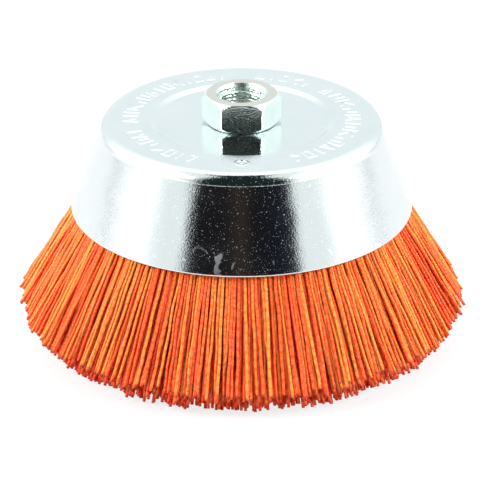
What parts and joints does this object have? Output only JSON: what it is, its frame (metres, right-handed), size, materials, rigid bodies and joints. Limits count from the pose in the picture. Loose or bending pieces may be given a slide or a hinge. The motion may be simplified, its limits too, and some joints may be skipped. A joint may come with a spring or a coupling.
{
  "type": "cup brush",
  "caption": "Flared abrasive-nylon cup brush for an angle grinder, with a pressed steel cup, a threaded hex nut and bristle bundles that flex about the cup's rim.",
  "frame": {"origin": "on the spin axis, level with the lowest bristle tips, so that the brush stands on its bristles", "axes": "+Z along the spin axis from the bristle tips towards the threaded nut; -Y square to one flat of the hex, which is the front"},
  "size_m": [0.152, 0.152, 0.0843],
  "materials": {
    "zinc_plated_cup": "bright zinc-plated pressed sheet, nearly mirror smooth",
    "zinc_plated_nut": "bright zinc-plated, machined faces",
    "zinc_plated_inner": "zinc-plated pressed sheet, dull inside face",
    "steel_wire": "bare drawn wire",
    "abrasive_nylon": "orange nylon filament loaded with fine abrasive grit, satin"
  },
  "bodies": {
    "cup": {"outer_cup": "zinc_plated_cup", "arbor_nut": "zinc_plated_nut", "inner_plate": "zinc_plated_inner", "clamp_washer": "zinc_plated_inner", "anchor_ring": "steel_wire", "bristle_folds": "abrasive_nylon"},
    "bristle_bundle_01": {"bristle_bundle_01": "abrasive_nylon"},
    "bristle_bundle_02": {"bristle_bundle_02": "abrasive_nylon"},
    "bristle_bundle_03": {"bristle_bundle_03": "abrasive_nylon"},
    "bristle_bundle_04": {"bristle_bundle_04": "abrasive_nylon"},
    "bristle_bundle_05": {"bristle_bundle_05": "abrasive_nylon"},
    "bristle_bundle_06": {"bristle_bundle_06": "abrasive_nylon"},
    "bristle_bundle_07": {"bristle_bundle_07": "abrasive_nylon"},
    "bristle_bundle_08": {"bristle_bundle_08": "abrasive_nylon"},
    "bristle_bundle_09": {"bristle_bundle_09": "abrasive_nylon"},
    "bristle_bundle_10": {"bristle_bundle_10": "abrasive_nylon"},
    "bristle_bundle_11": {"bristle_bundle_11": "abrasive_nylon"},
    "bristle_bundle_12": {"bristle_bundle_12": "abrasive_nylon"},
    "bristle_bundle_13": {"bristle_bundle_13": "abrasive_nylon"},
    "bristle_bundle_14": {"bristle_bundle_14": "abrasive_nylon"},
    "bristle_bundle_15": {"bristle_bundle_15": "abrasive_nylon"},
    "bristle_bundle_16": {"bristle_bundle_16": "abrasive_nylon"},
    "bristle_bundle_17": {"bristle_bundle_17": "abrasive_nylon"},
    "bristle_bundle_18": {"bristle_bundle_18": "abrasive_nylon"},
    "bristle_bundle_19": {"bristle_bundle_19": "abrasive_nylon"},
    "bristle_bundle_20": {"bristle_bundle_20": "abrasive_nylon"},
    "bristle_bundle_21": {"bristle_bundle_21": "abrasive_nylon"},
    "bristle_bundle_22": {"bristle_bundle_22": "abrasive_nylon"},
    "bristle_bundle_23": {"bristle_bundle_23": "abrasive_nylon"},
    "bristle_bundle_24": {"bristle_bundle_24": "abrasive_nylon"}
  },
  "joints": [
    {"name": "bundle_01_flex", "type": "hinge", "parent": "cup", "child": "bristle_bundle_01", "pos_m": [0.05659, 0, 0.04349], "axis": [0, -1, 0], "range_deg": [-4, 14], "stiffness_Nm_per_rad": 0.9},
    {"name": "bundle_02_flex", "type": "hinge", "parent": "cup", "child": "bristle_bundle_02", "pos_m": [0.05466, 0.01465, 0.04349], "axis": [0.2588, -0.9659, 0], "range_deg": [-4, 14], "stiffness_Nm_per_rad": 0.9},
    {"name": "bundle_03_flex", "type": "hinge", "parent": "cup", "child": "bristle_bundle_03", "pos_m": [0.04901, 0.0283, 0.04349], "axis": [0.5, -0.866, 0], "range_deg": [-4, 14], "stiffness_Nm_per_rad": 0.9},
    {"name": "bundle_04_flex", "type": "hinge", "parent": "cup", "child": "bristle_bundle_04", "pos_m": [0.04002, 0.04002, 0.04349], "axis": [0.7071, -0.7071, 0], "range_deg": [-4, 14], "stiffness_Nm_per_rad": 0.9},
    {"name": "bundle_05_flex", "type": "hinge", "parent": "cup", "child": "bristle_bundle_05", "pos_m": [0.0283, 0.04901, 0.04349], "axis": [0.866, -0.5, 0], "range_deg": [-4, 14], "stiffness_Nm_per_rad": 0.9},
    {"name": "bundle_06_flex", "type": "hinge", "parent": "cup", "child": "bristle_bundle_06", "pos_m": [0.01465, 0.05466, 0.04349], "axis": [0.9659, -0.2588, 0], "range_deg": [-4, 14], "stiffness_Nm_per_rad": 0.9},
    {"name": "bundle_07_flex", "type": "hinge", "parent": "cup", "child": "bristle_bundle_07", "pos_m": [0, 0.05659, 0.04349], "axis": [1, 0, 0], "range_deg": [-4, 14], "stiffness_Nm_per_rad": 0.9},
    {"name": "bundle_08_flex", "type": "hinge", "parent": "cup", "child": "bristle_bundle_08", "pos_m": [-0.01465, 0.05466, 0.04349], "axis": [0.9659, 0.2588, 0], "range_deg": [-4, 14], "stiffness_Nm_per_rad": 0.9},
    {"name": "bundle_09_flex", "type": "hinge", "parent": "cup", "child": "bristle_bundle_09", "pos_m": [-0.0283, 0.04901, 0.04349], "axis": [0.866, 0.5, 0], "range_deg": [-4, 14], "stiffness_Nm_per_rad": 0.9},
    {"name": "bundle_10_flex", "type": "hinge", "parent": "cup", "child": "bristle_bundle_10", "pos_m": [-0.04002, 0.04002, 0.04349], "axis": [0.7071, 0.7071, 0], "range_deg": [-4, 14], "stiffness_Nm_per_rad": 0.9},
    {"name": "bundle_11_flex", "type": "hinge", "parent": "cup", "child": "bristle_bundle_11", "pos_m": [-0.04901, 0.0283, 0.04349], "axis": [0.5, 0.866, 0], "range_deg": [-4, 14], "stiffness_Nm_per_rad": 0.9},
    {"name": "bundle_12_flex", "type": "hinge", "parent": "cup", "child": "bristle_bundle_12", "pos_m": [-0.05466, 0.01465, 0.04349], "axis": [0.2588, 0.9659, 0], "range_deg": [-4, 14], "stiffness_Nm_per_rad": 0.9},
    {"name": "bundle_13_flex", "type": "hinge", "parent": "cup", "child": "bristle_bundle_13", "pos_m": [-0.05659, 0, 0.04349], "axis": [0, 1, 0], "range_deg": [-4, 14], "stiffness_Nm_per_rad": 0.9},
    {"name": "bundle_14_flex", "type": "hinge", "parent": "cup", "child": "bristle_bundle_14", "pos_m": [-0.05466, -0.01465, 0.04349], "axis": [-0.2588, 0.9659, 0], "range_deg": [-4, 14], "stiffness_Nm_per_rad": 0.9},
    {"name": "bundle_15_flex", "type": "hinge", "parent": "cup", "child": "bristle_bundle_15", "pos_m": [-0.04901, -0.0283, 0.04349], "axis": [-0.5, 0.866, 0], "range_deg": [-4, 14], "stiffness_Nm_per_rad": 0.9},
    {"name": "bundle_16_flex", "type": "hinge", "parent": "cup", "child": "bristle_bundle_16", "pos_m": [-0.04002, -0.04002, 0.04349], "axis": [-0.7071, 0.7071, 0], "range_deg": [-4, 14], "stiffness_Nm_per_rad": 0.9},
    {"name": "bundle_17_flex", "type": "hinge", "parent": "cup", "child": "bristle_bundle_17", "pos_m": [-0.0283, -0.04901, 0.04349], "axis": [-0.866, 0.5, 0], "range_deg": [-4, 14], "stiffness_Nm_per_rad": 0.9},
    {"name": "bundle_18_flex", "type": "hinge", "parent": "cup", "child": "bristle_bundle_18", "pos_m": [-0.01465, -0.05466, 0.04349], "axis": [-0.9659, 0.2588, 0], "range_deg": [-4, 14], "stiffness_Nm_per_rad": 0.9},
    {"name": "bundle_19_flex", "type": "hinge", "parent": "cup", "child": "bristle_bundle_19", "pos_m": [0, -0.05659, 0.04349], "axis": [-1, 0, 0], "range_deg": [-4, 14], "stiffness_Nm_per_rad": 0.9},
    {"name": "bundle_20_flex", "type": "hinge", "parent": "cup", "child": "bristle_bundle_20", "pos_m": [0.01465, -0.05466, 0.04349], "axis": [-0.9659, -0.2588, 0], "range_deg": [-4, 14], "stiffness_Nm_per_rad": 0.9},
    {"name": "bundle_21_flex", "type": "hinge", "parent": "cup", "child": "bristle_bundle_21", "pos_m": [0.0283, -0.04901, 0.04349], "axis": [-0.866, -0.5, 0], "range_deg": [-4, 14], "stiffness_Nm_per_rad": 0.9},
    {"name": "bundle_22_flex", "type": "hinge", "parent": "cup", "child": "bristle_bundle_22", "pos_m": [0.04002, -0.04002, 0.04349], "axis": [-0.7071, -0.7071, 0], "range_deg": [-4, 14], "stiffness_Nm_per_rad": 0.9},
    {"name": "bundle_23_flex", "type": "hinge", "parent": "cup", "child": "bristle_bundle_23", "pos_m": [0.04901, -0.0283, 0.04349], "axis": [-0.5, -0.866, 0], "range_deg": [-4, 14], "stiffness_Nm_per_rad": 0.9},
    {"name": "bundle_24_flex", "type": "hinge", "parent": "cup", "child": "bristle_bundle_24", "pos_m": [0.05466, -0.01465, 0.04349], "axis": [-0.2588, -0.9659, 0], "range_deg": [-4, 14], "stiffness_Nm_per_rad": 0.9}
  ]
}
